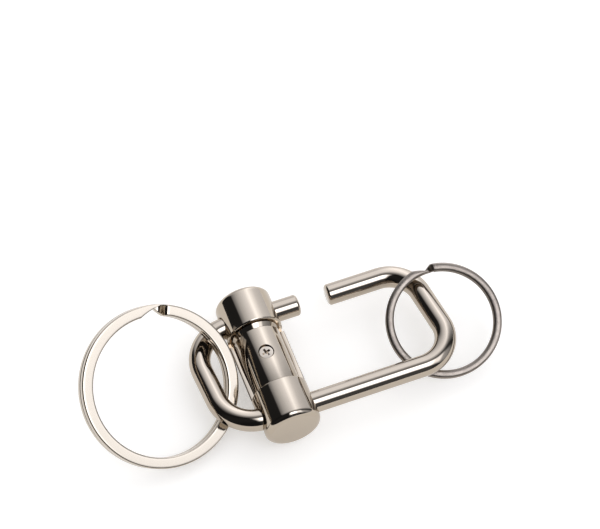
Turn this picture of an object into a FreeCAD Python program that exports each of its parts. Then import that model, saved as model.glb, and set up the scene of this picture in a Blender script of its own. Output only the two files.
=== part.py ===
"""A quick-release split key ring: a bent wire bow closed by a sliding barrel, with two coiled rings.

Row frame, in millimetres: the origin is the centre of the bow's free wire end. +X runs from there along the
upper leg, +Y runs from the lower leg towards the upper one, and +Z is up, away from the table. The bow's
centre line lies in the plane Z = 0. The barrel is drawn open, pushed up to the left bend.
"""

import math
import os

import FreeCAD
import Part
import Sketcher

NODE_FOLDER = "parts"

# name and value, in millimetres, or in degrees where the name says so
SIZES = [
    ("wire_diameter", 3.8),
    ("wire_end_chamfer", 0.4),
    ("leg_spacing", 19.2),
    ("right_reach", 16.2),
    ("right_lean_deg", 8.0),
    ("right_bend_radius", 6.0),
    ("left_reach", 25.2),
    ("left_lean_deg", 4.0),
    ("left_bend_radius", 6.6),
    ("gap_width", 5.3),
    ("stub_reach", 4.1),
    ("notch_radius", 1.25),
    ("notch_depth", 0.25),
    ("barrel_diameter", 10.0),
    ("barrel_end_margin", 3.8),
    ("barrel_end_round", 1.1),
    ("head_length", 6.9),
    ("upper_head_extra", 0.4),
    ("lower_head_extra", 0.9),
    ("head_rim_chamfer", 0.35),
    ("hole_clearance", 0.1),
    ("hole_mouth_chamfer", 0.25),
    ("rim_notch_width", 1.0),
    ("rim_notch_depth", 1.2),
    ("cradle_wall", 0.8),
    ("core_collar_step", 0.6),
    ("core_collar_length", 1.0),
    ("core_clearance", 0.05),
    ("core_web", 3.0),
    ("screw_head_diameter", 2.6),
    ("screw_head_height", 0.9),
    ("screw_sink", 0.35),
    ("screw_shank_diameter", 1.5),
    ("screw_clearance", 0.08),
    ("screw_recess_span", 1.5),
    ("screw_recess_width", 0.42),
    ("screw_recess_depth", 0.7),
    ("screw_recess_turn_deg", 20.0),
    ("ball_diameter", 2.4),
    ("ball_clearance", 0.05),
    ("ball_wire_gap", 0.04),
    ("spring_diameter", 2.1),
    ("spring_wire", 0.3),
    ("spring_turns", 4.5),
    ("spring_end_gap", 0.05),
    ("large_ring_diameter", 28.0),
    ("large_ring_band", 1.95),
    ("large_ring_coil", 1.35),
    ("large_ring_edge", 0.16),
    ("small_ring_diameter", 20.3),
    ("small_ring_band", 1.4),
    ("small_ring_coil", 0.8),
    ("small_ring_edge", 0.3),
    ("coil_gap", 0.04),
    ("ring_ramp_deg", 6.5),
    ("ring_taper_deg", 16.0),
    ("ring_tip_width", 0.3),
    ("ring_nail_notch_deg", 3.5),
    ("large_ring_inset", 1.79),
    ("large_ring_above_leg", 10.82),
    ("large_ring_lift_share", 0.7903),
    ("large_ring_climb_share", 2.3028),
    ("large_ring_turn_deg", 21.0),
    ("large_ring_jog_deg", 55.5),
    ("small_ring_outset", 1.07),
    ("small_ring_above_leg", 7.18),
    ("small_ring_lift_share", 0.0),
    ("small_ring_climb_share", 1.0854),
    ("small_ring_turn_deg", -7.7),
    ("small_ring_jog_deg", 95.0),
]

RAMP_SECTIONS = 9

doc = FreeCAD.newDocument("KeyRing")
sheet = doc.addObject("Spreadsheet::Sheet", "Sizes")
for row, (alias, value) in enumerate(SIZES, start=1):
    sheet.set(f"A{row}", alias)
    sheet.set(f"B{row}", str(value))
    sheet.setAlias(f"B{row}", alias)
doc.recompute()

# Expressions shared by several pieces.
BARREL_X = "-(Sizes.gap_width + Sizes.stub_reach + Sizes.barrel_diameter / 2)"
BARREL_Y = "-Sizes.leg_spacing / 2"
BARREL_LENGTH = "(Sizes.leg_spacing + 2 * Sizes.barrel_end_margin)"
WINDOW_TOP = f"({BARREL_LENGTH} / 2 - Sizes.head_length)"
WINDOW_BOTTOM = f"({WINDOW_TOP} - Sizes.lower_head_extra)"  # measured downwards from the middle of the legs
SCREW_Y = "(Sizes.lower_head_extra / 2)"
CORE_RADIUS = "(Sizes.barrel_diameter / 2 - Sizes.cradle_wall - Sizes.core_clearance)"
BORE_RADIUS = "(Sizes.ball_diameter / 2 + Sizes.ball_clearance)"
BALL_Y = "(Sizes.leg_spacing / 2 - Sizes.wire_diameter / 2 - Sizes.ball_wire_gap - Sizes.ball_diameter / 2)"
SCREW_TOP = f"({CORE_RADIUS} - Sizes.screw_sink)"


def size(alias):
    """The value of one cell of the sheet."""
    return float(sheet.get(alias))


def value_of(expression):
    """An expression over the sheet, worked out now."""
    result = sheet.evalExpression(expression)
    return float(getattr(result, "Value", result))


def new_body(label):
    """A PartDesign body that is one sub-part of the key ring."""
    body = doc.addObject("PartDesign::Body", label)
    body.Label = label
    return body


def place_at_barrel(body):
    """Puts a piece drawn about the middle of the two legs where the barrel stands."""
    body.setExpression("Placement.Base.x", BARREL_X)
    body.setExpression("Placement.Base.y", BARREL_Y)


def new_sketch(body, name, role):
    """A sketch on one of the body's own origin planes."""
    sketch = body.newObject("Sketcher::SketchObject", name)
    plane = next(f for f in body.Origin.OriginFeatures if f.Role == role)
    sketch.AttachmentSupport = [(plane, "")]
    sketch.MapMode = "FlatFace"
    return sketch


def bind(sketch, kind, *where, to):
    """Adds a driving dimension to a sketch and ties it to an expression."""
    value = value_of(to)
    if kind == "Angle":
        value = math.radians(value)
    index = sketch.addConstraint(Sketcher.Constraint(kind, *where, value))
    sketch.setExpression(f"Constraints[{index}]", to)


def add_circle(sketch, radius, x=None, y=None):
    """A circle whose radius and centre follow the sheet; no x or y puts it on that axis."""
    centre = FreeCAD.Vector(value_of(x) if x else 0, value_of(y) if y else 0, 0)
    circle = Part.Circle(centre, FreeCAD.Vector(0, 0, 1), value_of(radius))
    index = sketch.addGeometry(circle, False)
    bind(sketch, "Radius", index, to=radius)
    for kind, axis, place in (("DistanceX", -2, x), ("DistanceY", -1, y)):
        if place:
            bind(sketch, kind, -1, 1, index, 3, to=place)
        else:
            sketch.addConstraint(Sketcher.Constraint("PointOnObject", index, 3, axis))


def add_outline(sketch, corners):
    """A closed outline of straight lines through corners, each an (x, y) pair of expressions."""
    points = [FreeCAD.Vector(value_of(x), value_of(y), 0) for x, y in corners]
    first = sketch.GeometryCount
    count = len(points)
    for k in range(count):
        sketch.addGeometry(Part.LineSegment(points[k], points[(k + 1) % count]), False)
    for k, (x, y) in enumerate(corners):
        line = first + k
        before = first + (k - 1) % count
        sketch.addConstraint(Sketcher.Constraint("Coincident", before, 2, line, 1))
        for kind, axis, place in (("DistanceX", -2, x), ("DistanceY", -1, y)):
            if place == "0":
                sketch.addConstraint(Sketcher.Constraint("PointOnObject", line, 1, axis))
            else:
                bind(sketch, kind, -1, 1, line, 1, to=place)


def pocket(body, sketch, name, length):
    """Cuts a sketch out of the body, to both sides of its plane."""
    feature = body.newObject("PartDesign::Pocket", name)
    feature.Profile = sketch
    feature.Midplane = True
    feature.setExpression("Length", length)
    doc.recompute()
    return feature


def edges_where(shape, test):
    """The names of the edges whose middle point passes a test."""
    names = []
    for k, edge in enumerate(shape.Edges, start=1):
        middle = edge.valueAt((edge.FirstParameter + edge.LastParameter) / 2)
        if test(edge, middle):
            names.append(f"Edge{k}")
    return names


def dress(body, kind, name, base, edges, expression):
    """A fillet or chamfer on named edges of the last feature."""
    feature = body.newObject(f"PartDesign::{kind}", name)
    feature.Base = (base, edges)
    feature.setExpression("Radius" if kind == "Fillet" else "Size", expression)
    doc.recompute()
    return feature


def make_bow():
    """The bow: one wire bent round from its free end to the short stub, with four detent notches."""
    body = new_body("bow")
    route = new_sketch(body, "BowRoute", "XY_Plane")
    spacing = size("leg_spacing")
    corners = []
    for reach, lean, side in (
        (size("right_reach"), size("right_lean_deg"), 1),
        (-size("left_reach"), size("left_lean_deg"), -1),
    ):
        shift = spacing / 2 * math.tan(math.radians(lean))
        upper = FreeCAD.Vector(reach - shift, 0, 0)
        lower = FreeCAD.Vector(reach + shift, -spacing, 0)
        corners += [upper, lower] if side > 0 else [lower, upper]
    start = FreeCAD.Vector(0, 0, 0)
    stop = FreeCAD.Vector(-size("gap_width"), 0, 0)
    radii = [size("right_bend_radius")] * 2 + [size("left_bend_radius")] * 2
    add_bent_route(route, [start, *corners, stop], radii)
    # The lines are 0, 2, 4, 6 and 8, with the bends between them.
    upper_right, right_side, lower_leg, left_side, upper_left = 0, 2, 4, 6, 8
    for line in (upper_right, lower_leg, upper_left):
        route.addConstraint(Sketcher.Constraint("Horizontal", line))
    route.addConstraint(Sketcher.Constraint("Coincident", upper_right, 1, -1, 1))
    route.addConstraint(Sketcher.Constraint("PointOnObject", upper_left, 2, -1))
    bind(route, "DistanceX", -1, 1, upper_left, 2, to="-Sizes.gap_width")
    bind(route, "DistanceY", -1, 1, lower_leg, 1, to="-Sizes.leg_spacing")
    for bend, radius in ((1, "right"), (3, "right"), (5, "left"), (7, "left")):
        bind(route, "Radius", bend, to=f"Sizes.{radius}_bend_radius")
    for line, lean, reach in (
        (right_side, "right", "Sizes.right_reach"),
        (left_side, "left", "-Sizes.left_reach"),
    ):
        middle = FreeCAD.Vector(value_of(reach), -spacing / 2, 0)
        point = route.addGeometry(Part.Point(middle), True)
        route.addConstraint(Sketcher.Constraint("PointOnObject", point, 1, line))
        bind(route, "DistanceX", -1, 1, point, 1, to=reach)
        bind(route, "DistanceY", -1, 1, point, 1, to="-Sizes.leg_spacing / 2")
        turn = "-90 deg" if lean == "right" else "90 deg"
        bind(route, "Angle", line, to=f"{turn} + Sizes.{lean}_lean_deg * 1 deg")
    section = new_sketch(body, "WireSection", "YZ_Plane")
    add_circle(section, "Sizes.wire_diameter / 2")
    wire = body.newObject("PartDesign::AdditivePipe", "Wire")
    wire.Profile = section
    wire.Spine = route
    doc.recompute()

    def is_wire_end(edge, middle):
        at_end = min(abs(middle.x), abs(middle.x + size("gap_width"))) < 1e-4
        return at_end and abs(middle.y) < spacing / 2 and edge.Curve.TypeId == "Part::GeomCircle"

    ends = edges_where(wire.Shape, is_wire_end)
    dress(body, "Chamfer", "WireEnds", wire, ends, "Sizes.wire_end_chamfer")
    depth = "(Sizes.wire_diameter / 2 + Sizes.notch_radius - Sizes.notch_depth)"
    travel = "(Sizes.stub_reach + Sizes.barrel_diameter / 2 + Sizes.gap_width / 2)"
    for place, offset in (("Open", BARREL_X), ("Closed", f"({BARREL_X} + {travel})")):
        for leg, y in (("Upper", f"-{depth}"), ("Lower", f"-Sizes.leg_spacing + {depth}")):
            if (place, leg) == ("Closed", "Upper"):
                continue
            notch = body.newObject("PartDesign::SubtractiveSphere", f"Notch{place}{leg}")
            notch.setExpression("Radius", "Sizes.notch_radius")
            notch.setExpression("Placement.Base.x", offset)
            notch.setExpression("Placement.Base.y", y)
            doc.recompute()
    return body


def add_bent_route(sketch, points, radii):
    """Lines through points with an arc of the given radius at each inner point, joined tangentially."""
    starts = [points[0]]
    stops = []
    arcs = []
    for before, corner, after, radius in zip(points, points[1:-1], points[2:], radii):
        back = (before - corner).normalize()
        onward = (after - corner).normalize()
        half = back.getAngle(onward) / 2
        reach = radius / math.tan(half)
        middle = corner + (back + onward).normalize() * (radius / math.sin(half) - radius)
        stops.append(corner + back * reach)
        starts.append(corner + onward * reach)
        arcs.append(Part.Arc(stops[-1], middle, starts[-1]))
    stops.append(points[-1])
    for k, (start, stop) in enumerate(zip(starts, stops)):
        sketch.addGeometry(Part.LineSegment(start, stop), False)
        if k < len(arcs):
            sketch.addGeometry(arcs[k], False)
    for k in range(len(arcs)):
        line, arc, following = 2 * k, 2 * k + 1, 2 * k + 2
        for straight, end in ((line, 2), (following, 1)):
            at = sketch.getPoint(straight, end)
            arc_end = 1 if at.distanceToPoint(sketch.getPoint(arc, 1)) < 1e-6 else 2
            sketch.addConstraint(Sketcher.Constraint("Tangent", straight, end, arc, arc_end))


def make_barrel():
    """The sliding barrel: two drilled heads joined by the half shell that cradles the core."""
    body = new_body("barrel")
    place_at_barrel(body)
    section = new_sketch(body, "BarrelSection", "XZ_Plane")
    section.setExpression("AttachmentOffset.Base.z", "-Sizes.upper_head_extra / 2")
    add_circle(section, "Sizes.barrel_diameter / 2")
    stock = body.newObject("PartDesign::Pad", "BarrelStock")
    stock.Profile = section
    stock.Midplane = True
    stock.setExpression("Length", f"{BARREL_LENGTH} + Sizes.upper_head_extra")
    doc.recompute()
    lower_end = -value_of(f"{BARREL_LENGTH} / 2")
    upper_end = size("upper_head_extra") - lower_end
    ends = edges_where(stock.Shape, lambda edge, middle: min(upper_end - middle.y, middle.y - lower_end) < 1e-4)
    dress(body, "Fillet", "BarrelEnds", stock, ends, "Sizes.barrel_end_round")

    window = new_sketch(body, "Window", "YZ_Plane")
    top = "Sizes.barrel_diameter"
    add_outline(window, [
        (f"-{WINDOW_BOTTOM}", "0"),
        (WINDOW_TOP, "0"),
        (WINDOW_TOP, top),
        (f"-{WINDOW_BOTTOM}", top),
    ])
    pocket(body, window, "WindowCut", "2 * Sizes.barrel_diameter")
    for name, sign, edge in (("UpperRim", "", WINDOW_TOP), ("LowerRim", "-", WINDOW_BOTTOM)):
        rim = new_sketch(body, name, "XY_Plane")
        outer = "Sizes.barrel_diameter / 2"
        face = f"{sign}{edge}"
        add_outline(rim, [
            (f"{outer} - Sizes.head_rim_chamfer", face),
            (f"{outer} + Sizes.head_rim_chamfer", face),
            (f"{outer} + Sizes.head_rim_chamfer", f"{sign}({edge} + 2 * Sizes.head_rim_chamfer)"),
        ])
        groove = body.newObject("PartDesign::Groove", f"{name}Groove")
        groove.Profile = rim
        groove.ReferenceAxis = (rim, ["V_Axis"])
        groove.Angle = 180
        groove.Reversed = True
        doc.recompute()

    holes = new_sketch(body, "WireHoles", "YZ_Plane")
    for side in ("", "-"):
        add_circle(holes, "Sizes.wire_diameter / 2 + Sizes.hole_clearance", x=f"{side}Sizes.leg_spacing / 2")
    drilled = pocket(body, holes, "WireHolesCut", "2 * Sizes.barrel_diameter")
    reach = size("wire_diameter") / 2 + size("hole_clearance")

    def is_hole_mouth(edge, middle):
        off_axis = math.hypot(middle.x, middle.z)
        from_hole = math.hypot(abs(middle.y) - size("leg_spacing") / 2, middle.z)
        return abs(off_axis - size("barrel_diameter") / 2) < 1e-3 and abs(from_hole - reach) < 1e-3

    mouths = edges_where(drilled.Shape, is_hole_mouth)
    dress(body, "Chamfer", "HoleMouths", drilled, mouths, "Sizes.hole_mouth_chamfer")

    seat = new_sketch(body, "CoreSeat", "XZ_Plane")
    seat.setExpression("AttachmentOffset.Base.z", f"-{SCREW_Y}")
    add_circle(seat, "Sizes.barrel_diameter / 2 - Sizes.cradle_wall")
    pocket(body, seat, "CoreSeatCut", f"{WINDOW_TOP} + {WINDOW_BOTTOM}")
    bore = new_sketch(body, "BallBores", "XZ_Plane")
    add_circle(bore, BORE_RADIUS)
    pocket(body, bore, "BallBoresCut", "Sizes.leg_spacing")
    thread = new_sketch(body, "ScrewHole", "XY_Plane")
    add_circle(thread, "Sizes.screw_shank_diameter / 2 + Sizes.screw_clearance", y=SCREW_Y)
    pocket(body, thread, "ScrewHoleCut", "2 * Sizes.barrel_diameter")
    notch = new_sketch(body, "RimNotch", "XY_Plane")
    side = "Sizes.barrel_diameter"
    near = f"{WINDOW_TOP} - Sizes.rim_notch_width"
    add_outline(notch, [(f"-{side}", near), (side, near), (side, WINDOW_TOP), (f"-{side}", WINDOW_TOP)])
    pocket(body, notch, "RimNotchCut", "2 * Sizes.rim_notch_depth")
    return body


def make_core():
    """The core lying in the barrel's cradle, bored from both ends for the two detents."""
    body = new_body("core")
    place_at_barrel(body)
    profile = new_sketch(body, "CoreProfile", "XY_Plane")
    upper_end = f"({WINDOW_TOP} - Sizes.core_clearance)"
    lower_end = f"-({WINDOW_BOTTOM} - Sizes.core_clearance)"
    shoulder = f"({WINDOW_TOP} - Sizes.core_collar_length)"
    radius = CORE_RADIUS
    collar = f"({CORE_RADIUS} - Sizes.core_collar_step)"
    web = "Sizes.core_web / 2"
    add_outline(profile, [
        ("0", f"-{web}"),
        (BORE_RADIUS, f"-{web}"),
        (BORE_RADIUS, lower_end),
        (radius, lower_end),
        (radius, shoulder),
        (collar, shoulder),
        (collar, upper_end),
        (BORE_RADIUS, upper_end),
        (BORE_RADIUS, web),
        ("0", web),
    ])
    turned = body.newObject("PartDesign::Revolution", "CoreTurned")
    turned.Profile = profile
    turned.ReferenceAxis = (profile, ["V_Axis"])
    turned.Angle = 360
    doc.recompute()
    hole = new_sketch(body, "CoreScrewHole", "XY_Plane")
    add_circle(hole, "Sizes.screw_shank_diameter / 2 + Sizes.screw_clearance", y=SCREW_Y)
    pocket(body, hole, "CoreScrewHoleCut", "2 * Sizes.barrel_diameter")
    seat = new_sketch(body, "CoreScrewSeat", "XY_Plane")
    seat.setExpression("AttachmentOffset.Base.z", CORE_RADIUS)
    add_circle(seat, "Sizes.screw_head_diameter / 2 + Sizes.screw_clearance", y=SCREW_Y)
    pocket(body, seat, "CoreScrewSeatCut", "2 * (Sizes.screw_sink + Sizes.screw_head_height)")
    return body


def make_core_screw():
    """The screw that holds the core down in the cradle, with its cross recess."""
    body = new_body("core_screw")
    place_at_barrel(body)
    body.setExpression("Placement.Base.y", f"{BARREL_Y} + {SCREW_Y}")
    profile = new_sketch(body, "ScrewProfile", "XZ_Plane")
    tip = "-(Sizes.barrel_diameter / 2 - Sizes.screw_clearance)"
    under = f"({SCREW_TOP} - Sizes.screw_head_height)"
    shank = "Sizes.screw_shank_diameter / 2"
    head = "Sizes.screw_head_diameter / 2"
    add_outline(profile, [
        ("0", tip), (shank, tip), (shank, under), (head, under), (head, SCREW_TOP), ("0", SCREW_TOP),
    ])
    turned = body.newObject("PartDesign::Revolution", "ScrewTurned")
    turned.Profile = profile
    turned.ReferenceAxis = (profile, ["V_Axis"])
    turned.Angle = 360
    doc.recompute()
    recess = new_sketch(body, "CrossRecess", "XY_Plane")
    recess.setExpression("AttachmentOffset.Base.z", SCREW_TOP)
    recess.setExpression("AttachmentOffset.Rotation.Angle", "Sizes.screw_recess_turn_deg * 1 deg")
    far = "Sizes.screw_recess_span / 2"
    near = "Sizes.screw_recess_width / 2"
    quarter = [(far, near), (near, near), (near, far)]
    cross = []
    for k, (sx, sy) in enumerate((("", ""), ("-", ""), ("-", "-"), ("", "-"))):
        corner = quarter if k % 2 == 0 else quarter[::-1]
        cross += [(f"{sx}{x}", f"{sy}{y}") for x, y in corner]
    add_outline(recess, cross)
    pocket(body, recess, "CrossRecessCut", "2 * Sizes.screw_recess_depth")
    return body


def make_detents():
    """A ball and the coil spring behind it for each leg."""
    pieces = []
    for label, sign in (("upper", ""), ("lower", "-")):
        ball = doc.addObject("Part::Sphere", f"{label}_ball")
        ball.Label = f"{label}_ball"
        ball.setExpression("Radius", "Sizes.ball_diameter / 2")
        ball.setExpression("Placement.Base.x", BARREL_X)
        ball.setExpression("Placement.Base.y", f"{BARREL_Y} + {sign}{BALL_Y}")
        spring = new_body(f"{label}_spring")
        spring.setExpression("Placement.Base.x", BARREL_X)
        start = f"(Sizes.core_web / 2 + Sizes.spring_end_gap + Sizes.spring_wire / 2)"
        spring.setExpression("Placement.Base.y", f"{BARREL_Y} + {sign}{start}")
        section = new_sketch(spring, f"{label.title()}SpringSection", "XY_Plane")
        add_circle(section, "Sizes.spring_wire / 2", x="(Sizes.spring_diameter - Sizes.spring_wire) / 2")
        coil = spring.newObject("PartDesign::AdditiveHelix", f"{label.title()}SpringCoil")
        coil.Profile = section
        coil.ReferenceAxis = (section, ["V_Axis"])
        coil.Mode = "height-turns-angle"
        coil.Reversed = sign == "-"
        length = f"({BALL_Y} - Sizes.ball_diameter / 2 - Sizes.core_web / 2 - 2 * Sizes.spring_end_gap)"
        coil.setExpression("Height", f"{length} - Sizes.spring_wire")
        coil.setExpression("Turns", "Sizes.spring_turns")
        pieces += [ball, spring]
    doc.recompute()
    return pieces


def strip_section(inner, outer, low, high, edge, angle=0.0, rise=0.0):
    """The strip's outline with rounded edges, standing across the ring at an angle about its axis."""
    along = FreeCAD.Vector(math.cos(angle), math.sin(angle), 0)

    def point(radius, height):
        return along * radius + FreeCAD.Vector(0, 0, height + rise)

    half = edge * math.sqrt(0.5)
    corners = (  # centre of the rounding, then the way to its first, middle and last points
        (outer - edge, low + edge, (0, -edge), (half, -half), (edge, 0)),
        (outer - edge, high - edge, (edge, 0), (half, half), (0, edge)),
        (inner + edge, high - edge, (0, edge), (-half, half), (-edge, 0)),
        (inner + edge, low + edge, (-edge, 0), (-half, -half), (0, -edge)),
    )
    arcs = [Part.Arc(*(point(r + dr, z + dz) for dr, dz in steps)) for r, z, *steps in corners]
    edges = []
    for arc, following in zip(arcs, arcs[1:] + arcs[:1]):
        edges.append(arc.toShape())
        edges.append(Part.LineSegment(arc.EndPoint, following.StartPoint).toShape())
    return Part.Wire(edges)


def polar(radius, angle_deg, height):
    """A point round the ring's axis."""
    angle = math.radians(angle_deg)
    return FreeCAD.Vector(radius * math.cos(angle), radius * math.sin(angle), height)


def wedge(corners, height):
    """A flat-sided cutter that stands on the given corners."""
    return Part.Face(Part.makePolygon([*corners, corners[0]])).extrude(FreeCAD.Vector(0, 0, height))


def coiled_ring(outer, band, coil, edge, tip_inside):
    """A flat strip wound twice round, its two turns joined by a short ramp, with a tapered upper end.

    The ring's axis is Z and its middle is the origin. The ramp spans the angles from 0 down to minus the ramp's
    angle, and the tapered end begins at angle 0. The tip is at the inner or the outer side of the strip.
    """
    gap = size("coil_gap")
    ramp_deg = size("ring_ramp_deg")
    taper_deg = size("ring_taper_deg")
    tip_width = size("ring_tip_width")
    notch_deg = size("ring_nail_notch_deg")
    inner = outer - band
    low = -gap / 2 - coil
    axis = FreeCAD.Vector(0, 0, 1)
    turns = []
    for bottom in (low, gap / 2):
        face = Part.Face(strip_section(inner, outer, bottom, bottom + coil, edge))
        turns.append(face.revolve(FreeCAD.Vector(0, 0, 0), axis, 360 - ramp_deg))
    lower, upper = turns
    sections = []
    for k in range(RAMP_SECTIONS):
        share = k / (RAMP_SECTIONS - 1)
        rise = (coil + gap) * (1 - share * share * (3 - 2 * share))
        angle = -math.radians(ramp_deg) * (1 - share)
        sections.append(strip_section(inner, outer, low, low + coil, edge, angle, rise))
    ramp = Part.makeLoft(sections, True, False)
    cut_side, kept_side = (outer, inner + tip_width) if tip_inside else (inner, outer - tip_width)
    beyond = cut_side + (cut_side - kept_side)
    middle = gap / 4
    taper = [polar(kept_side, 0, middle), polar(cut_side, taper_deg, middle), polar(beyond, taper_deg / 2, middle),
             polar(beyond, 0, middle)]
    depth = kept_side + (cut_side - kept_side) * notch_deg / taper_deg
    notch = [polar(depth, notch_deg, low - gap), polar(cut_side, taper_deg, low - gap),
             polar(beyond, taper_deg / 2, low - gap), polar(beyond, 0, low - gap),
             polar(cut_side, -ramp_deg / 2, low - gap)]
    strip_start = ramp.fuse(lower).cut(wedge(notch, 2 * (coil + gap)))
    return upper.cut(wedge(taper, coil + gap)).fuse(strip_start).removeSplitter()


def make_ring(label, x, tip_inside):
    """One split ring, wound in its own frame and then laid through the bow, near its lower leg.

    The tilt follows the height that the ring has to climb over the wire and the distance that it has for it.
    """
    ring = doc.addObject("Part::Feature", label)
    ring.Label = label
    ring.Shape = coiled_ring(
        outer=size(f"{label}_diameter") / 2,
        band=size(f"{label}_band"),
        coil=size(f"{label}_coil"),
        edge=size(f"{label}_edge"),
        tip_inside=tip_inside,
    )
    height = size("wire_diameter") / 2 + size(f"{label}_coil") + size("coil_gap")
    above_leg = size(f"{label}_above_leg")
    climb = math.atan(size(f"{label}_climb_share") * height / above_leg)
    spin = FreeCAD.Rotation(FreeCAD.Vector(0, 0, 1), size(f"{label}_jog_deg"))
    tilt = FreeCAD.Rotation(FreeCAD.Vector(1, 0, 0), math.degrees(climb))
    turn = FreeCAD.Rotation(FreeCAD.Vector(0, 0, 1), size(f"{label}_turn_deg"))
    centre = FreeCAD.Vector(x, above_leg - size("leg_spacing"), size(f"{label}_lift_share") * height)
    ring.Placement = FreeCAD.Placement(centre, turn.multiply(tilt).multiply(spin))
    return ring


def make_rings():
    """The large ring at the left bend and the small one at the right bend."""
    wire_radius = size("wire_diameter") / 2
    large_inner = size("large_ring_diameter") / 2 - size("large_ring_band")
    large_x = -size("left_reach") - (large_inner - wire_radius - size("large_ring_inset"))
    small_x = size("right_reach") + size("small_ring_outset")
    return [
        make_ring("large_ring", large_x, tip_inside=False),
        make_ring("small_ring", small_x, tip_inside=True),
    ]


def write_nodes(pieces):
    """Checks every object of the document, then writes one STEP file for each piece."""
    doc.recompute()
    for item in doc.Objects:
        if {"Invalid", "Error"} & set(item.State):
            raise RuntimeError(f"{item.Label}: {item.getStatusString()}")
    for piece in pieces:
        if piece.Shape.isNull() or not piece.Shape.isValid() or not piece.Shape.Solids:
            raise RuntimeError(f"{piece.Label} has no valid solid")
    os.makedirs(NODE_FOLDER, exist_ok=True)
    for piece in pieces:
        piece.Shape.exportStep(os.path.join(NODE_FOLDER, f"{piece.Label}.step"))
        print(f"{piece.Label}: {len(piece.Shape.Solids)} solid, {piece.Shape.Volume:.2f} mm3")


write_nodes([
    make_bow(),
    make_barrel(),
    make_core(),
    make_core_screw(),
    *make_detents(),
    *make_rings(),
])
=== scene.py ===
import math

import bmesh
import bpy
from mathutils import Matrix, Vector


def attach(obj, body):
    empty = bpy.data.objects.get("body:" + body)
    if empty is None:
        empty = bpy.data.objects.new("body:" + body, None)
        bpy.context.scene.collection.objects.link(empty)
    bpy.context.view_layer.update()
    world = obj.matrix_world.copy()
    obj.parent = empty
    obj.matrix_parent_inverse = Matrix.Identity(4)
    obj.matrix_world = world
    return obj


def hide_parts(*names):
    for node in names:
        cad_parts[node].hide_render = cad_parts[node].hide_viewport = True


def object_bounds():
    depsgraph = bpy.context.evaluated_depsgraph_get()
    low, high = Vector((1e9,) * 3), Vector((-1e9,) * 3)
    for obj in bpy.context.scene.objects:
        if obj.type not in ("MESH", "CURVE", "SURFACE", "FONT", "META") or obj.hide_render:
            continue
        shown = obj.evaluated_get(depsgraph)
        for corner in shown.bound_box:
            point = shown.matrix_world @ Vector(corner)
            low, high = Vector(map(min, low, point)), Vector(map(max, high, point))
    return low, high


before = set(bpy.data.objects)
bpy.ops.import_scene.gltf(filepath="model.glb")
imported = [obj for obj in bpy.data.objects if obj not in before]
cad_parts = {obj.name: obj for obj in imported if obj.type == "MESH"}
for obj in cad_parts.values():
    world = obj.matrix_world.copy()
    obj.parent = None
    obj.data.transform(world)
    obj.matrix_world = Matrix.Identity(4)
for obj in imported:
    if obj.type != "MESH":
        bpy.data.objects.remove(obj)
cad_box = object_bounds()

# ---- The bow ----
# One length of 3.8 mm steel wire, bent to a rounded frame with a gap in its upper leg, polished and plated
# with black nickel. Both ends are rounded over, and small round notches in the legs' inner sides catch the
# barrel's balls. All sizes are in millimetres, and the finished pieces are brought to metres.

WIRE_RADIUS = 1.9
WIRE_FACETS = 96
BEND_STEPS = 40
LEG_SPACING = 19.2
GAP_WIDTH = 5.3
STUB_REACH = 4.1
BARREL_RADIUS = 5.0
BARREL_X = -(GAP_WIDTH + STUB_REACH + BARREL_RADIUS)
CLOSED_TRAVEL = 11.75
CLOSED_NOTCH_EXTRA = 0.3
RIGHT_REACH = 16.2
LEFT_REACH = 25.2
RIGHT_LEAN = math.radians(8)
LEFT_LEAN = math.radians(4)
RIGHT_BEND_RADIUS = 6.0
LEFT_BEND_RADIUS = 6.6
NOTCH_RADIUS = 1.25
NOTCH_DEPTH = 0.25
END_ROUNDING = ((0.12, 1.84), (0.26, 1.73), (0.36, 1.60), (0.40, 1.50))
CREASE = math.radians(24)
MERGE_REACH = 1e-5
METRES = 0.001


def loop_after(bm, edges):
    """Extrudes a loop of edges and gives the edges and corners of the new loop."""
    made = bmesh.ops.extrude_edge_only(bm, edges=edges)["geom"]
    corners = [part for part in made if isinstance(part, bmesh.types.BMVert)]
    known = set(corners)
    ring = [part for part in made
            if isinstance(part, bmesh.types.BMEdge) and set(part.verts) <= known]
    return ring, corners


def turned_loop(bm, edges, centre, axis, angle, steps, rise=(0, 0, 0)):
    """Sweeps a loop of edges about an axis, leaving its wall behind, and gives the last loop's edges."""
    corners = list({corner for edge in edges for corner in edge.verts})
    swept = bmesh.ops.spin(bm, geom=corners + edges, cent=centre, axis=axis, dvec=rise, angle=angle,
                           steps=steps, use_merge=False, use_duplicate=False)
    return [part for part in swept["geom_last"] if isinstance(part, bmesh.types.BMEdge)]


def round_wire_end(bm, edges, outwards):
    """Rounds a wire's end over and closes it with a flat face."""
    along, radius = 0, WIRE_RADIUS
    for next_along, next_radius in END_ROUNDING:
        edges, corners = loop_after(bm, edges)
        middle = sum((corner.co for corner in corners), Vector()) / len(corners)
        ratio = next_radius / radius
        bmesh.ops.scale(bm, vec=(ratio, ratio, ratio), space=Matrix.Translation(-middle), verts=corners)
        bmesh.ops.translate(bm, vec=outwards * (next_along - along), verts=corners)
        along, radius = next_along, next_radius
    bmesh.ops.contextual_create(bm, geom=edges)


def shape_object(bm, name):
    """A temporary object that holds a shape while it is cut."""
    mesh = bpy.data.meshes.new(name)
    bm.to_mesh(mesh)
    bm.free()
    piece = bpy.data.objects.new(name, mesh)
    bpy.context.scene.collection.objects.link(piece)
    return piece


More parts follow.
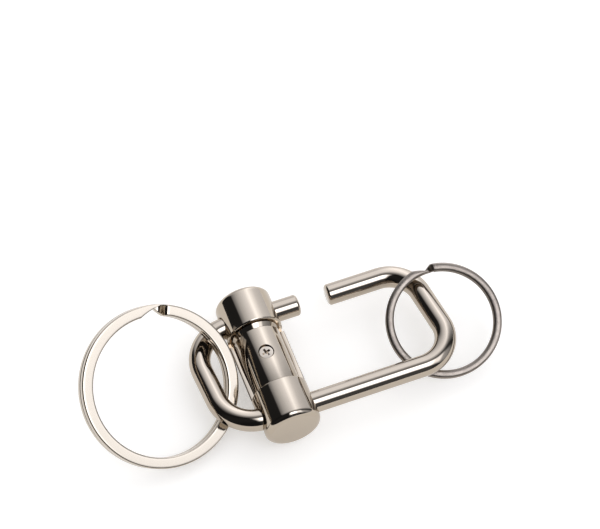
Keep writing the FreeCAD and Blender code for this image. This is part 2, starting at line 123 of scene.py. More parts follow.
def cut_away(bm, *cutters):
    """Takes closed shapes out of a closed shape and gives what is left."""
    stock = shape_object(bm, "stock")
    tools = [shape_object(cutter, "cutter") for cutter in cutters]
    for tool in tools:
        modifier = stock.modifiers.new("cut", "BOOLEAN")
        modifier.operation = "DIFFERENCE"
        modifier.solver = "EXACT"
        modifier.object = tool
    bpy.context.view_layer.update()
    rest = bmesh.new()
    rest.from_mesh(stock.evaluated_get(bpy.context.evaluated_depsgraph_get()).to_mesh())
    for piece in (stock, *tools):
        mesh = piece.data
        bpy.data.objects.remove(piece)
        bpy.data.meshes.remove(mesh)
    bmesh.ops.remove_doubles(rest, verts=rest.verts, dist=MERGE_REACH)
    bmesh.ops.dissolve_degenerate(rest, edges=rest.edges, dist=MERGE_REACH)
    return rest


def finished(bm, name, material, body, node):
    """A finished piece in metres that rides on a body and stands for its node."""
    bmesh.ops.scale(bm, vec=(METRES, METRES, METRES), verts=bm.verts)
    for face in bm.faces:
        face.smooth = True
    for edge in bm.edges:
        edge.smooth = edge.calc_face_angle(0) < CREASE
    mesh = bpy.data.meshes.new(name)
    bm.to_mesh(mesh)
    bm.free()
    mesh.materials.append(material)
    piece = bpy.data.objects.new(name, mesh)
    bpy.context.scene.collection.objects.link(piece)
    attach(piece, body)
    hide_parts(node)
    return piece


def plated(name, tone, other_tone, roughness, roughness_spread, lines, line_stretch, ripple):
    """Polished plating with a faint change of tone, fine polishing lines and the plate's own ripple."""
    material = bpy.data.materials.new(name)
    material.use_nodes = True
    nodes, links = material.node_tree.nodes, material.node_tree.links
    shader = nodes["Principled BSDF"]
    shader.inputs["Metallic"].default_value = 1
    place = nodes.new("ShaderNodeTexCoord").outputs["Object"]

    cloud = nodes.new("ShaderNodeTexNoise")
    cloud.inputs["Scale"].default_value = 160
    cloud.inputs["Detail"].default_value = 3
    links.new(place, cloud.inputs["Vector"])
    tint = nodes.new("ShaderNodeMix")
    tint.data_type = "RGBA"
    tint.inputs["A"].default_value = (*tone, 1)
    tint.inputs["B"].default_value = (*other_tone, 1)
    links.new(cloud.outputs["Fac"], tint.inputs["Factor"])
    links.new(tint.outputs["Result"], shader.inputs["Base Color"])

    stretch = nodes.new("ShaderNodeMapping")
    stretch.inputs["Scale"].default_value = line_stretch
    links.new(place, stretch.inputs["Vector"])
    scratch = nodes.new("ShaderNodeTexNoise")
    scratch.inputs["Scale"].default_value = lines
    scratch.inputs["Detail"].default_value = 6
    scratch.inputs["Roughness"].default_value = 0.7
    links.new(stretch.outputs["Vector"], scratch.inputs["Vector"])
    gloss = nodes.new("ShaderNodeMapRange")
    gloss.inputs["From Min"].default_value = 0.35
    gloss.inputs["From Max"].default_value = 0.75
    gloss.inputs["To Min"].default_value = roughness
    gloss.inputs["To Max"].default_value = roughness + roughness_spread
    links.new(scratch.outputs["Fac"], gloss.inputs["Value"])
    links.new(gloss.outputs["Result"], shader.inputs["Roughness"])

    wave = nodes.new("ShaderNodeTexNoise")
    wave.inputs["Scale"].default_value = 900
    wave.inputs["Detail"].default_value = 2
    links.new(place, wave.inputs["Vector"])
    height = nodes.new("ShaderNodeMix")
    height.inputs["Factor"].default_value = 0.25
    links.new(wave.outputs["Fac"], height.inputs["A"])
    links.new(scratch.outputs["Fac"], height.inputs["B"])
    bump = nodes.new("ShaderNodeBump")
    bump.inputs["Strength"].default_value = ripple
    bump.inputs["Distance"].default_value = 0.0001
    links.new(height.outputs["Result"], bump.inputs["Height"])
    links.new(bump.outputs["Normal"], shader.inputs["Normal"])
    return material


wire_shape = bmesh.new()
right_step = LEG_SPACING / 2 * math.tan(RIGHT_LEAN)
left_step = LEG_SPACING / 2 * math.tan(LEFT_LEAN)
route = [Vector(point) for point in (
    (0, 0, 0), (RIGHT_REACH - right_step, 0, 0), (RIGHT_REACH + right_step, -LEG_SPACING, 0),
    (left_step - LEFT_REACH, -LEG_SPACING, 0), (-left_step - LEFT_REACH, 0, 0), (-GAP_WIDTH, 0, 0),
)]
bend_radii = (RIGHT_BEND_RADIUS, RIGHT_BEND_RADIUS, LEFT_BEND_RADIUS, LEFT_BEND_RADIUS)
end_length = END_ROUNDING[-1][0]
heading = (route[1] - route[0]).normalized()
across_wire = Matrix.Rotation(math.pi / 2, 4, "Y")
bmesh.ops.create_circle(wire_shape, radius=WIRE_RADIUS, segments=WIRE_FACETS, cap_ends=False,
                        matrix=Matrix.Translation(heading * end_length) @ across_wire)
first_loop = list(wire_shape.edges)
loop, at = first_loop, route[0] + heading * end_length
for corner_point, following, bend_radius in zip(route[1:], route[2:], bend_radii):
    onward = (following - corner_point).normalized()
    turn = heading.angle(onward)
    bend_start = corner_point - heading * bend_radius * math.tan(turn / 2)
    loop, ring = loop_after(wire_shape, loop)
    bmesh.ops.translate(wire_shape, vec=bend_start - at, verts=ring)
    inwards = Vector((heading.y, -heading.x, 0))
    loop = turned_loop(wire_shape, loop, bend_start + inwards * bend_radius, (0, 0, -1), turn, BEND_STEPS)
    heading, at = onward, corner_point + onward * bend_radius * math.tan(turn / 2)
loop, ring = loop_after(wire_shape, loop)
bmesh.ops.translate(wire_shape, vec=route[-1] - heading * end_length - at, verts=ring)
round_wire_end(wire_shape, loop, heading)
round_wire_end(wire_shape, first_loop, Vector((-1, 0, 0)))
bmesh.ops.remove_doubles(wire_shape, verts=wire_shape.verts, dist=MERGE_REACH)
bmesh.ops.recalc_face_normals(wire_shape, faces=wire_shape.faces)

notch_y = WIRE_RADIUS + NOTCH_RADIUS - NOTCH_DEPTH
notches = []
closed_notch_x = BARREL_X + CLOSED_TRAVEL + CLOSED_NOTCH_EXTRA
for x, y in (
    (BARREL_X, -notch_y), (BARREL_X, notch_y - LEG_SPACING), (closed_notch_x, notch_y - LEG_SPACING),
):
    notch = bmesh.new()
    bmesh.ops.create_uvsphere(notch, u_segments=48, v_segments=24, radius=NOTCH_RADIUS,
                              matrix=Matrix.Translation((x, y, 0)))
    notches.append(notch)
wire_shape = cut_away(wire_shape, *notches)

wire_finish = plated("black_nickel_wire", (0.45, 0.385, 0.31), (0.42, 0.36, 0.295), 0.05, 0.05,
                     700, (0.15, 1, 1), 0.05)
finished(wire_shape, "bent_wire_bow", wire_finish, "bow", "bow")

# ---- The barrel ----
# A 10 mm steel cylinder that slides on both legs. Its middle is milled away down to a half shell between two
# solid heads, and each head is drilled through for a leg. Its ends, the window's rims and the mouths of the
# holes are rounded and polished.

BARREL_FACETS = 192
UPPER_END = 13.8
LOWER_END = -13.4
END_ROUND = 1.1
END_ROUND_STEPS = 12
WINDOW_TOP = 6.5
WINDOW_BOTTOM = -5.6
HEAD_RIM_ROUND = 0.35
CRADLE_RIM_ROUND = 0.22
CRADLE_RIM_STEPS = 5
ROUNDING_ANGLES = [math.radians(degrees) for degrees in (0, 15, 30, 45, 60, 75)]
HOLE_RADIUS = 2.0
MOUTH_ROUND = 0.25
FLARE_REACH = 0.5
FLARE_GROWTH = 0.55
TOOL_MARGIN = 0.4
RIM_TOOL_OVERRUN = 0.3
RIM_TOOL_INSET = 0.05
RIM_TOOL_LIFT = 0.01
WINDOW_REACH = 8
WINDOW_WIDTH = 16
SEAT_END_GAP = 0.002
BORE_FACETS = 64
HOLE_FACETS = 48
SCREW_FACETS = 96
CORE_SEAT_RADIUS = 4.2
BALL_BORE_RADIUS = 1.25
SCREW_HOLE_RADIUS = 0.83
RIM_NOTCH_WIDTH = 1.0
RIM_NOTCH_DEPTH = 1.2
SCREW_Y = (WINDOW_TOP + WINDOW_BOTTOM) / 2
SAME_PLACE = 0.01
ON_CURVE = 0.001
ALONG_Y = Matrix.Rotation(-math.pi / 2, 4, "X")
AT_BARREL = Matrix.Translation((BARREL_X, -LEG_SPACING / 2, 0))


def rod(radius, length, facets, place=Matrix.Identity(4)):
    """A round bar with flat ends, its axis along Z before it is placed."""
    bm = bmesh.new()
    bmesh.ops.create_cone(bm, cap_ends=True, cap_tris=False, segments=facets, radius1=radius, radius2=radius,
                          depth=length, matrix=place)
    return bm


def plate(outline, thickness, across):
    """A flat shape of the given thickness, drawn through corners and thickened to both sides."""
    bm = bmesh.new()
    face = bm.faces.new([bm.verts.new(Vector(point) - Vector(across) * thickness / 2) for point in outline])
    grown = bmesh.ops.extrude_face_region(bm, geom=[face])["geom"]
    bmesh.ops.translate(bm, vec=Vector(across) * thickness,
                        verts=[part for part in grown if isinstance(part, bmesh.types.BMVert)])
    bmesh.ops.recalc_face_normals(bm, faces=bm.faces)
    return bm


def wire_hole(y):
    """The tool for one wire hole: a bar whose ends flare out where they leave the barrel's round wall."""
    bm = bmesh.new()
    bmesh.ops.create_circle(bm, radius=HOLE_RADIUS, segments=WIRE_FACETS, cap_ends=False, matrix=across_wire)
    half_flare = [(-MOUTH_ROUND + MOUTH_ROUND * math.sin(angle),
                   HOLE_RADIUS + MOUTH_ROUND * (1 - math.cos(angle))) for angle in ROUNDING_ANGLES]
    half_flare.append((FLARE_REACH, half_flare[-1][1] + FLARE_GROWTH))
    loop, corners, last_radius = list(bm.edges), list(bm.verts), HOLE_RADIUS
    first = loop
    stations = [(-1, *step) for step in reversed(half_flare)] + [(1, *step) for step in half_flare]
    for count, (side, offset, radius) in enumerate(stations):
        if count:
            loop, corners = loop_after(bm, loop)
        for corner in corners:
            y_at, z_at = corner.co.y * radius / last_radius, corner.co.z * radius / last_radius
            corner.co = (side * (math.sqrt(BARREL_RADIUS ** 2 - z_at ** 2) + offset), y_at, z_at)
        last_radius = radius
    bmesh.ops.contextual_create(bm, geom=loop)
    bmesh.ops.contextual_create(bm, geom=first)
    bmesh.ops.recalc_face_normals(bm, faces=bm.faces)
    bmesh.ops.translate(bm, vec=(0, y, 0), verts=bm.verts)
    return bm


def rim_rounding(rim_y, side):
    """The tool that rounds the upper half of a head's rim where the window begins."""
    bm = bmesh.new()
    inner = BARREL_RADIUS - HEAD_RIM_ROUND
    arc = [(inner + HEAD_RIM_ROUND * math.sin(angle), HEAD_RIM_ROUND * (1 - math.cos(angle)))
           for angle in ROUNDING_ANGLES]
    beyond = BARREL_RADIUS + TOOL_MARGIN
    outline = [*arc, (beyond, arc[-1][1] + RIM_TOOL_OVERRUN), (beyond, -RIM_TOOL_OVERRUN),
               (inner - RIM_TOOL_INSET, -RIM_TOOL_OVERRUN)]
    corners = [bm.verts.new((radius, rim_y + side * back, 0)) for radius, back in outline]
    loop = [bm.edges.new(pair) for pair in zip(corners, corners[1:] + corners[:1])]
    last = turned_loop(bm, loop, (0, 0, 0), (0, -1, 0), math.pi, BARREL_FACETS // 2)
    bmesh.ops.contextual_create(bm, geom=loop)
    bmesh.ops.contextual_create(bm, geom=last)
    bmesh.ops.recalc_face_normals(bm, faces=bm.faces)
    bmesh.ops.translate(bm, vec=(0, 0, RIM_TOOL_LIFT), verts=bm.verts)
    return bm


def along_axis(middle_y):
    """A bar's place along the barrel's axis."""
    return Matrix.Translation((0, middle_y, 0)) @ ALONG_Y


barrel_shape = rod(BARREL_RADIUS, UPPER_END - LOWER_END, BARREL_FACETS,
                   along_axis((UPPER_END + LOWER_END) / 2))
rims = [edge for edge in barrel_shape.edges if abs(edge.verts[0].co.y - edge.verts[1].co.y) < SAME_PLACE]
bmesh.ops.bevel(barrel_shape, geom=rims, offset=END_ROUND, segments=END_ROUND_STEPS, profile=0.5,
                affect="EDGES", material=-1)
notch_start = WINDOW_TOP - RIM_NOTCH_WIDTH
window = plate([(0, WINDOW_BOTTOM, 0), (0, notch_start, 0), (0, notch_start, -RIM_NOTCH_DEPTH),
                (0, WINDOW_TOP, -RIM_NOTCH_DEPTH), (0, WINDOW_TOP, WINDOW_REACH),
                (0, WINDOW_BOTTOM, WINDOW_REACH)], WINDOW_WIDTH, (1, 0, 0))
seat_length = WINDOW_TOP - WINDOW_BOTTOM - 2 * SEAT_END_GAP
barrel_shape = cut_away(
    barrel_shape, window, rim_rounding(WINDOW_TOP, 1), rim_rounding(WINDOW_BOTTOM, -1),
    wire_hole(LEG_SPACING / 2), wire_hole(-LEG_SPACING / 2),
    rod(CORE_SEAT_RADIUS, seat_length, BARREL_FACETS, along_axis(SCREW_Y)),
    rod(BALL_BORE_RADIUS, LEG_SPACING, BORE_FACETS, ALONG_Y),
    rod(SCREW_HOLE_RADIUS, 2 * BARREL_RADIUS, HOLE_FACETS,
        Matrix.Translation((0, SCREW_Y, -BARREL_RADIUS))),
)
cradle_rims = [
    edge for edge in barrel_shape.edges
    if all(abs(corner.co.z) < ON_CURVE and abs(corner.co.x) > CORE_SEAT_RADIUS - SAME_PLACE
           and WINDOW_BOTTOM - SAME_PLACE < corner.co.y < notch_start + SAME_PLACE for corner in edge.verts)
    and abs(edge.verts[0].co.x - edge.verts[1].co.x) < SAME_PLACE
]
bmesh.ops.bevel(barrel_shape, geom=cradle_rims, offset=CRADLE_RIM_ROUND, segments=CRADLE_RIM_STEPS,
                profile=0.5, affect="EDGES", material=-1)
bmesh.ops.transform(barrel_shape, matrix=AT_BARREL, verts=barrel_shape.verts)
barrel_finish = plated("black_nickel_barrel", (0.45, 0.385, 0.31), (0.43, 0.37, 0.30), 0.045, 0.05,
                       600, (1, 0.2, 1), 0.04)
finished(barrel_shape, "sliding_barrel", barrel_finish, "barrel", "barrel")

# ---- The core ----
# A turned steel pin of 8.3 mm with a thinner, flared collar next to the upper head. It lies in the half
# shell, and is bored from both ends for the springs and balls. One screw through its middle holds it down.

CORE_RADIUS = 4.15
COLLAR_RADIUS = 3.55
COLLAR_TOP_RADIUS = 4.1
COLLAR_LENGTH = 1.0
CORE_TOP = 6.45
CORE_BOTTOM = -5.55
WEB_HALF = 1.5
SCREW_HEAD_RADIUS = 1.3
SCREW_HEAD_HEIGHT = 0.9
SCREW_TOP = 3.8
CORE_EDGE_ROUND = 0.12
CORE_EDGE_STEPS = 4
SCREW_HOLE_LENGTH = 12
SCREW_SEAT_GAP = 0.08
SEAT_CUT_HEIGHT = 4


def turned_part(outline, facets, axis):
    """A closed outline of (radius, height) pairs turned once round its axis."""
    bm = bmesh.new()
    corners = [bm.verts.new(Vector((radius, 0, 0)) + Vector(axis) * height) for radius, height in outline]
    edges = [bm.edges.new(pair) for pair in zip(corners, corners[1:])]
    bmesh.ops.spin(bm, geom=corners + edges, cent=(0, 0, 0), axis=axis, angle=2 * math.pi, steps=facets,
                   use_merge=True, use_duplicate=False)
    bmesh.ops.remove_doubles(bm, verts=bm.verts, dist=MERGE_REACH)
    bmesh.ops.recalc_face_normals(bm, faces=bm.faces)
    return bm


def round_rims(bm, radius, width, segments):
    """Rounds every crease that runs round a turned part at the given radius."""
    rims = [edge for edge in bm.edges if edge.calc_face_angle(0) > CREASE
            and all(abs(math.hypot(v.co.x, v.co.z) - radius) < ON_CURVE for v in edge.verts)]
    bmesh.ops.bevel(bm, geom=rims, offset=width, segments=segments, profile=0.5, affect="EDGES",
                    material=-1)


shoulder = WINDOW_TOP - COLLAR_LENGTH
core_shape = turned_part([
    (0, -WEB_HALF), (BALL_BORE_RADIUS, -WEB_HALF), (BALL_BORE_RADIUS, CORE_BOTTOM),
    (CORE_RADIUS, CORE_BOTTOM), (CORE_RADIUS, shoulder), (COLLAR_RADIUS, shoulder),
    (COLLAR_TOP_RADIUS, CORE_TOP), (BALL_BORE_RADIUS, CORE_TOP), (BALL_BORE_RADIUS, WEB_HALF),
    (0, WEB_HALF),
], BARREL_FACETS, (0, 1, 0))
round_rims(core_shape, CORE_RADIUS, CORE_EDGE_ROUND, CORE_EDGE_STEPS)
screw_seat_floor = SCREW_TOP - SCREW_HEAD_HEIGHT
core_shape = cut_away(
    core_shape,
    rod(SCREW_HOLE_RADIUS, SCREW_HOLE_LENGTH, HOLE_FACETS, Matrix.Translation((0, SCREW_Y, 0))),
    rod(SCREW_HEAD_RADIUS + SCREW_SEAT_GAP, SEAT_CUT_HEIGHT, SCREW_FACETS,
        Matrix.Translation((0, SCREW_Y, screw_seat_floor + SEAT_CUT_HEIGHT / 2))),
)
bmesh.ops.transform(core_shape, matrix=AT_BARREL, verts=core_shape.verts)
core_finish = plated("black_nickel_core", (0.45, 0.385, 0.31), (0.43, 0.37, 0.30), 0.05, 0.05,
                     600, (1, 0.2, 1), 0.04)
finished(core_shape, "turned_core", core_finish, "barrel", "core")

# ---- The core screw ----
# A small cross-head machine screw, sunk a little below the core's top. Its shank passes through the core and
# ends in the half shell's tapped hole.

SCREW_SHANK_RADIUS = 0.75
SCREW_TIP = -4.92
SCREW_TIP_CHAMFER = 0.15
RECESS_HALF_SPAN = 0.75
RECESS_HALF_WIDTH = 0.21
RECESS_DEPTH = 0.7
RECESS_TURN = math.radians(20)
HEAD_ROUNDING = ((0, 0.14), (0.04, 0.06), (0.12, 0.01), (0.2, 0))

screw_shape = turned_part([
    (0, SCREW_TIP), (SCREW_SHANK_RADIUS - SCREW_TIP_CHAMFER, SCREW_TIP),
    (SCREW_SHANK_RADIUS, SCREW_TIP + SCREW_TIP_CHAMFER),
    (SCREW_SHANK_RADIUS, screw_seat_floor), (SCREW_HEAD_RADIUS, screw_seat_floor),
    *[(SCREW_HEAD_RADIUS - inwards, SCREW_TOP - down) for inwards, down in HEAD_ROUNDING], (0, SCREW_TOP),
], SCREW_FACETS, (0, 0, 1))
slots = []
for x_half, y_half in ((RECESS_HALF_SPAN, RECESS_HALF_WIDTH), (RECESS_HALF_WIDTH, RECESS_HALF_SPAN)):
    slots.append(plate([(-x_half, -y_half, SCREW_TOP), (x_half, -y_half, SCREW_TOP),
                        (x_half, y_half, SCREW_TOP), (-x_half, y_half, SCREW_TOP)],
                       2 * RECESS_DEPTH, (0, 0, 1)))
for slot in slots:
    bmesh.ops.rotate(slot, cent=(0, 0, 0), matrix=Matrix.Rotation(RECESS_TURN, 3, "Z"), verts=slot.verts)
screw_shape = cut_away(screw_shape, *slots)
bmesh.ops.transform(screw_shape, matrix=AT_BARREL @ Matrix.Translation((0, SCREW_Y, 0)),
                    verts=screw_shape.verts)
screw_finish = plated("black_nickel_screw", (0.46, 0.40, 0.335), (0.42, 0.37, 0.31), 0.1, 0.08,
                      1500, (1, 1, 1), 0.06)
finished(screw_shape, "cross_head_screw", screw_finish, "barrel", "core_screw")

# ---- The two detents ----
# In each end of the core a drawn-wire spring presses a hardened 2.4 mm ball against the leg beside it. The
# balls are bright steel, and the springs are left as drawn.

BALL_RADIUS = 1.2
BALL_REACH = 6.46

ball_steel = plated("bright_ball_steel", (0.62, 0.61, 0.60), (0.58, 0.57, 0.56), 0.06, 0.04,
                    1200, (1, 1, 1), 0.02)
spring_steel = plated("drawn_spring_wire", (0.48, 0.47, 0.46), (0.40, 0.39, 0.38), 0.25, 0.2,
                      2500, (1, 1, 1), 0.15)
for side, label in ((1, "upper"), (-1, "lower")):
    ball = bmesh.new()
    bmesh.ops.create_uvsphere(ball, u_segments=64, v_segments=32, radius=BALL_RADIUS,
                              matrix=AT_BARREL @ Matrix.Translation((0, side * BALL_REACH, 0)))
    finished(ball, f"{label}_detent_ball", ball_steel, f"{label}_ball", f"{label}_ball")
    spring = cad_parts[f"{label}_spring"]
    spring.data.materials.clear()
    spring.data.materials.append(spring_steel)

# ---- The two split rings ----
# Each is a flat steel strip wound twice round. A short ramp takes the strip from one turn to the other, and
# the upper end is ground to a thin tip. The large one is plated like the bow, and the small one is duller.

STRIP_EDGE_STEPS = 5
CROWN_STEPS = 5
TURN_STEP = math.radians(2)
RAMP_ANGLE = math.radians(6.5)
RAMP_STEPS = 12
TAPER_ANGLE = math.radians(16)
TAPER_STEPS = 16
TIP_WIDTH = 0.3
NAIL_NOTCH_ANGLE = math.radians(3.5)
NARROWING_STEPS = 14
NAIL_NOTCH_STEPS = 4
COIL_GAP = 0.04


def narrow(loop, kept_side, old_width, new_width):
    """Draws one side of a strip's outline in towards the side that is kept."""
    for corner in {corner for edge in loop for corner in edge.verts}:
        reach = math.hypot(corner.co.x, corner.co.y)
        wanted = kept_side + (reach - kept_side) * new_width / old_width
        corner.co.x *= wanted / reach
        corner.co.y *= wanted / reach


def split_ring(diameter, band, coil, edge_round, crown, tip_inside, place):
    """One strip swept along the lower turn, up the ramp and along the upper turn to its tapered tip.

    A small notch for a fingernail narrows the lower turn under the tip.
    """
    outer, inner = diameter / 2, diameter / 2 - band
    kept_side = inner if tip_inside else outer
    low, high = -COIL_GAP / 2 - coil, -COIL_GAP / 2
    bm = bmesh.new()
    corners = [bm.verts.new((x, 0, z))
               for x, z in ((inner, low), (outer, low), (outer, high), (inner, high))]
    bm.faces.new(corners)
    bmesh.ops.bevel(bm, geom=corners, offset=edge_round, segments=STRIP_EDGE_STEPS, profile=0.5,
                    affect="VERTICES", material=-1)
    bmesh.ops.delete(bm, geom=list(bm.faces), context="FACES_ONLY")
    flats = [edge for edge in bm.edges if abs(edge.verts[0].co.z - edge.verts[1].co.z) < MERGE_REACH]
    bmesh.ops.subdivide_edges(bm, edges=flats, cuts=CROWN_STEPS)
    for corner in bm.verts:
        off_middle = (corner.co.x - (outer + inner) / 2) / (band / 2)
        height = corner.co.z - (high + low) / 2
        corner.co.z -= crown * off_middle ** 2 * height / (coil / 2)
    first = list(bm.edges)
    downwards, centre = (0, 0, -1), (0, 0, 0)
    bmesh.ops.rotate(bm, cent=centre, matrix=Matrix.Rotation(-RAMP_ANGLE, 3, "Z"), verts=bm.verts)
    long_way = 2 * math.pi - RAMP_ANGLE - TAPER_ANGLE
    loop = turned_loop(bm, first, centre, downwards, long_way, round(long_way / TURN_STEP))

    tip_share = NAIL_NOTCH_ANGLE / TAPER_ANGLE
    notch_width = TIP_WIDTH + (band - TIP_WIDTH) * tip_share
    width = band
    half_wide = (notch_width + band) / 2
    for angle, end_width, steps in ((TAPER_ANGLE - NAIL_NOTCH_ANGLE, notch_width, NARROWING_STEPS),
                                    (NAIL_NOTCH_ANGLE, half_wide, NAIL_NOTCH_STEPS)):
        start_width = width
        for step in range(1, steps + 1):
            loop = turned_loop(bm, loop, centre, downwards, angle / steps, 1)
            next_width = start_width + (end_width - start_width) * step / steps
            narrow(loop, kept_side, width, next_width)
            width = next_width
    climbed = 0
    for step in range(1, RAMP_STEPS + 1):
        share = step / RAMP_STEPS
        climb = (coil + COIL_GAP) * share * share * (3 - 2 * share)
        loop = turned_loop(bm, loop, centre, downwards, RAMP_ANGLE / RAMP_STEPS, 1, (0, 0, climb - climbed))
        climbed = climb
        next_width = min(band, half_wide + (band - notch_width) * share)
        narrow(loop, kept_side, width, next_width)
        width = next_width
    loop = turned_loop(bm, loop, centre, downwards, long_way, round(long_way / TURN_STEP))
    for step in range(1, TAPER_STEPS + 1):
        loop = turned_loop(bm, loop, centre, downwards, TAPER_ANGLE / TAPER_STEPS, 1)
        next_width = band + (TIP_WIDTH - band) * step / TAPER_STEPS
        narrow(loop, kept_side, width, next_width)
        width = next_width
    bmesh.ops.contextual_create(bm, geom=first)
    bmesh.ops.contextual_create(bm, geom=loop)
    bmesh.ops.recalc_face_normals(bm, faces=bm.faces)
    bmesh.ops.transform(bm, matrix=place, verts=bm.verts)
    return bm


def laid(x, y, z, tilt, turn, jog):
    """Where a ring lies: its jog turned round the ring, then the ring tilted, turned and moved."""
    turns = [Matrix.Rotation(math.radians(angle), 4, axis)
             for angle, axis in ((turn, "Z"), (tilt, "X"), (jog, "Z"))]
    return Matrix.Translation((x, y, z)) @ turns[0] @ turns[1] @ turns[2]


large_place = laid(x=-33.56, y=-8.38, z=2.6, tilt=35, turn=21, jog=55.5)
small_place = laid(x=17.27, y=-12.02, z=0, tilt=22.5, turn=-7.7, jog=95)
large_finish = plated("black_nickel_strip", (0.48, 0.42, 0.345), (0.46, 0.405, 0.335), 0.06, 0.08,
                      800, (1, 1, 1), 0.05)
small_finish = plated("dull_nickel_strip", (0.27, 0.23, 0.195), (0.21, 0.18, 0.152), 0.27, 0.14,
                      1200, (1, 1, 1), 0.1)
large_shape = split_ring(diameter=28, band=1.95, coil=1.35, edge_round=0.26, crown=0.01, tip_inside=False,
                         place=large_place)
finished(large_shape, "large_split_ring", large_finish, "large_ring", "large_ring")
small_shape = split_ring(diameter=20.3, band=1.4, coil=0.8, edge_round=0.3, crown=0.12, tip_inside=True,
                         place=small_place)
finished(small_shape, "small_split_ring", small_finish, "small_ring", "small_ring")

# ---- The table, the light and the camera ----
# The key ring lies on a white table under the soft boxes of a studio. They stand in front and behind,
# brighter to the right, with dark gaps between them and a dark side to the left.

TABLE_HALF_SIDE = 3
AMBIENT_GLOW = 0.015
CAMERA_AZIMUTH = math.radians(-19.2)
CAMERA_ELEVATION = math.radians(58)
CAMERA_ROLL = math.radians(-1.32)
CAMERA_DISTANCE = 0.431
CAMERA_AIM = Vector((-0.0021, 0.00762, 0))

floor_mesh = bpy.data.meshes.new("table_top")
floor_shape = bmesh.new()
bmesh.ops.create_grid(floor_shape, x_segments=1, y_segments=1, size=TABLE_HALF_SIDE,
                      matrix=Matrix.Translation((0, 0, cad_box[0][2])))
floor_shape.to_mesh(floor_mesh)
floor_shape.free()
table = bpy.data.objects.new("table_top", floor_mesh)
bpy.context.scene.collection.objects.link(table)
paper = bpy.data.materials.new("white_table")
paper.use_nodes = True
paper_shader = paper.node_tree.nodes["Principled BSDF"]
paper_shader.inputs["Base Color"].default_value = (0.80, 0.79, 0.78, 1)
paper_shader.inputs["Roughness"].default_value = 0.9
paper_shader.inputs["Specular IOR Level"].default_value = 0.0
paper_shader.inputs["Emission Color"].default_value = (1, 0.99, 0.975, 1)
paper_shader.inputs["Emission Strength"].default_value = 0.38
floor_mesh.materials.append(paper)

world = bpy.data.worlds.new("studio")
bpy.context.scene.world = world
world.use_nodes = True
sky, wires = world.node_tree.nodes, world.node_tree.links
for old in list(sky):
    sky.remove(old)


def maths(operation, *values):
    """One sum of the world's light, from numbers or from other nodes."""
    node = sky.new("ShaderNodeMath")
    node.operation = operation
    for socket, value in zip(node.inputs, values):
        if isinstance(value, (int, float)):
            socket.default_value = value
        else:
            wires.new(value, socket)
    return node.outputs[0]


def ramp(value, stops, top=2.5):
    """Brightness along one direction; stops are (place from -1 to 1, brightness from 0 to the top one)."""
    node = sky.new("ShaderNodeValToRGB")
    scale = node.color_ramp
    scale.elements[0].position = (stops[0][0] + 1) / 2
    scale.elements[1].position = (stops[-1][0] + 1) / 2
    for place, _ in stops[1:-1]:
        scale.elements.new((place + 1) / 2)
    for element, (_, level) in zip(scale.elements, stops):
        element.color = (level / top, level / top, level / top, 1)
    wires.new(maths("MULTIPLY_ADD", value, 0.5, 0.5), node.inputs["Fac"])
    return maths("MULTIPLY", node.outputs["Color"], top)


aim = sky.new("ShaderNodeTexCoord").outputs["Generated"]
parts = sky.new("ShaderNodeSeparateXYZ")
wires.new(aim, parts.inputs["Vector"])
to_right, to_back = parts.outputs["X"], parts.outputs["Y"]
back_box = maths(
    "MULTIPLY",
    ramp(to_right, [(-0.55, 0.01), (-0.5, 0.3), (-0.3, 0.8), (0.2, 1.6), (0.4, 2.4), (0.7, 1.3), (1.0, 0.8)]),
    ramp(to_back, [(0.0, 0.0), (0.2, 0.4), (0.45, 1.0), (0.85, 1.0), (1.0, 0.6)]),
)
front_box = maths(
    "MULTIPLY",
    ramp(to_right, [(-0.1, 0.01), (0.05, 4.5), (0.3, 4.5), (0.45, 2.1), (0.6, 2.1), (0.7, 0.7), (1.0, 0.3)],
         top=6),
    ramp(to_back, [(-0.75, 0.02), (-0.6, 0.85), (-0.5, 1.0), (-0.25, 1.0), (-0.1, 0.1), (0.1, 0.0)]),
)
glow = maths("ADD", maths("ADD", back_box, front_box), AMBIENT_GLOW)
shade = sky.new("ShaderNodeMix")
shade.data_type = "RGBA"
shade.blend_type = "MULTIPLY"
shade.inputs["Factor"].default_value = 1
shade.inputs["B"].default_value = (1.0, 1.045, 1.15, 1)
wires.new(glow, shade.inputs["A"])
studio = sky.new("ShaderNodeBackground")
wires.new(shade.outputs["Result"], studio.inputs["Color"])
backdrop = sky.new("ShaderNodeBackground")
backdrop.inputs["Color"].default_value = (1, 1, 1, 1)
soft_dome = sky.new("ShaderNodeBackground")
soft_dome.inputs["Color"].default_value = (0.79, 0.79, 0.79, 1)
ray = sky.new("ShaderNodeLightPath")
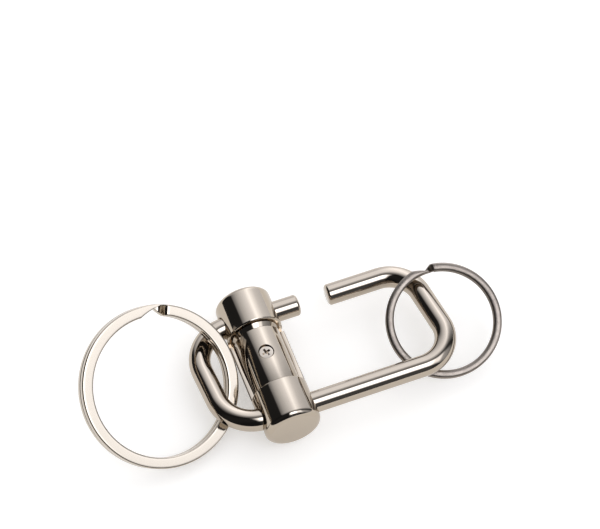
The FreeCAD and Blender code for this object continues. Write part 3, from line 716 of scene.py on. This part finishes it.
for_table = sky.new("ShaderNodeMixShader")
wires.new(ray.outputs["Is Diffuse Ray"], for_table.inputs["Fac"])
wires.new(studio.outputs["Background"], for_table.inputs[1])
wires.new(soft_dome.outputs["Background"], for_table.inputs[2])
for_camera = sky.new("ShaderNodeMixShader")
wires.new(ray.outputs["Is Camera Ray"], for_camera.inputs["Fac"])
wires.new(for_table.outputs["Shader"], for_camera.inputs[1])
wires.new(backdrop.outputs["Background"], for_camera.inputs[2])
wires.new(for_camera.outputs["Shader"], sky.new("ShaderNodeOutputWorld").inputs["Surface"])


def soft_light(name, place, aim_at, side, power):
    """A square studio light that brightens the table but isn't mirrored in the metal."""
    data = bpy.data.lights.new(name, "AREA")
    data.size = side
    data.energy = power
    lamp = bpy.data.objects.new(name, data)
    lamp.visible_glossy = False
    lamp.location = place
    lamp.rotation_euler = (Vector(aim_at) - Vector(place)).to_track_quat("-Z", "Y").to_euler()
    bpy.context.scene.collection.objects.link(lamp)


soft_light("key_light", (0.3, 0.2, 0.5), (0, 0, 0), 0.5, 0.35)

camera_data = bpy.data.cameras.new("camera")
camera_data.lens = 146.4
camera_data.sensor_width = 36
camera_data.clip_start = 0.01
camera = bpy.data.objects.new("camera", camera_data)
backwards = Vector((math.sin(CAMERA_AZIMUTH) * math.cos(CAMERA_ELEVATION),
                    -math.cos(CAMERA_AZIMUTH) * math.cos(CAMERA_ELEVATION), math.sin(CAMERA_ELEVATION)))
sideways = Vector((math.cos(CAMERA_AZIMUTH), math.sin(CAMERA_AZIMUTH), 0))
upwards = backwards.cross(sideways)
right = math.cos(CAMERA_ROLL) * sideways + math.sin(CAMERA_ROLL) * upwards
up = math.cos(CAMERA_ROLL) * upwards - math.sin(CAMERA_ROLL) * sideways
looking = Matrix((right, up, backwards)).transposed().to_4x4()
camera.matrix_world = Matrix.Translation(CAMERA_AIM + backwards * CAMERA_DISTANCE) @ looking
bpy.context.scene.collection.objects.link(camera)
bpy.context.scene.camera = camera
bpy.context.scene.view_settings.view_transform = "Standard"
